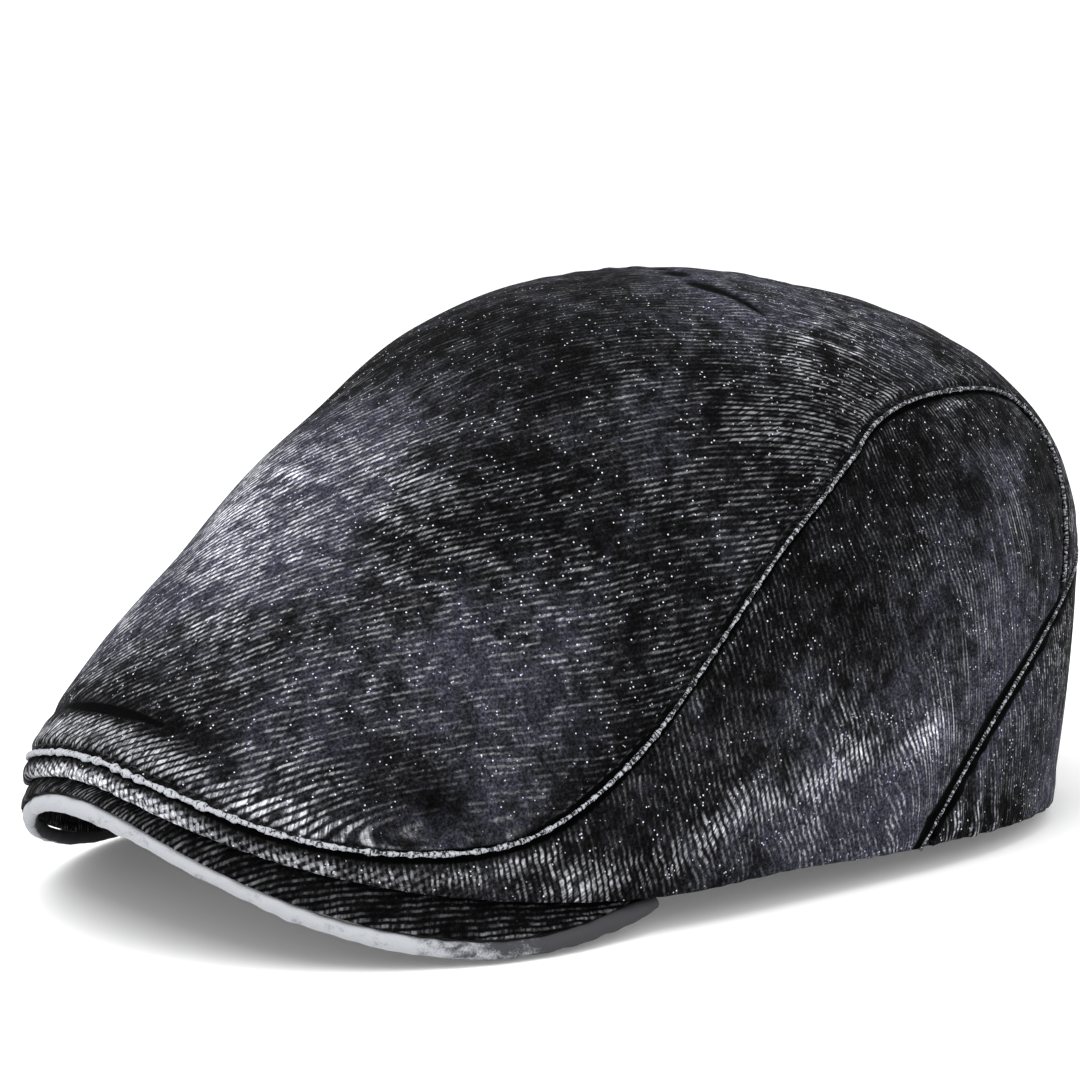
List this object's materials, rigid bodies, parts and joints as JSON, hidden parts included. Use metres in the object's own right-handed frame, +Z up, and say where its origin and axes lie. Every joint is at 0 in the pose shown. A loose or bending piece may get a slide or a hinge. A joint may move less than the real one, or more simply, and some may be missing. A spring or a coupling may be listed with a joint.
{
  "type": "flat cap",
  "caption": "Washed denim flat cap with a stiff arched visor sewn under a large top panel, lining, sweatband and an adjustable strap with a metal clasp at the back.",
  "frame": {"origin": "centre of the bounding box on the surface that the cap stands on", "axes": "+Z up, -Y towards the front of the cap, +X towards the wearer's left"},
  "size_m": [0.1558, 0.2767, 0.1314],
  "materials": {
    "denim": "washed black denim twill, cloudy slate patches, worn pale at folds",
    "denim_edge": "folded denim edge, abraded nearly white along its top",
    "visor_denim": "dark denim twill, little wear",
    "visor_binding": "rolled fabric edge, washed to pale grey",
    "strap_denim": "double denim strap, topstitched",
    "lining": "thin black polyester lining, slight sheen",
    "hem_tape": "black cotton tape",
    "sweatband": "black cotton twill band",
    "label": "blank woven label",
    "visor_board": "flexible plastic sheet",
    "old_brass": "antique finish, worn on edges"
  },
  "bodies": {
    "cap": {"top_panel": "denim", "side_panel_left": "denim", "side_panel_right": "denim", "back_panel_left": "denim", "back_panel_right": "denim", "crown_seam_welt": "denim_edge", "rear_seam_welt": "denim_edge", "hem_tape": "hem_tape", "visor_board": "visor_board", "visor_upper_cover": "visor_denim", "visor_lower_cover": "visor_denim", "visor_edge_binding": "visor_binding", "lining_top": "lining", "lining_left": "lining", "lining_right": "lining", "sweatband": "sweatband", "size_label": "label", "strap_channel": "denim", "strap_keeper": "denim", "clasp_tab": "denim", "clasp_base": "old_brass", "clasp_pin": "old_brass"},
    "strap": {"adjuster_strap": "strap_denim"},
    "lever": {"clasp_lever": "old_brass"}
  },
  "joints": [
    {"name": "strap_slide", "type": "hinge", "parent": "cap", "child": "strap", "pos_m": [0, 0.02535, 0.03003], "axis": [0, 0.1392, 0.9903], "range_deg": [0, 11]},
    {"name": "clasp_lever_hinge", "type": "hinge", "parent": "cap", "child": "lever", "pos_m": [-0.0014, 0.13559, 0.01454], "axis": [0, -0.1392, -0.9903], "range_deg": [0, 100]}
  ]
}
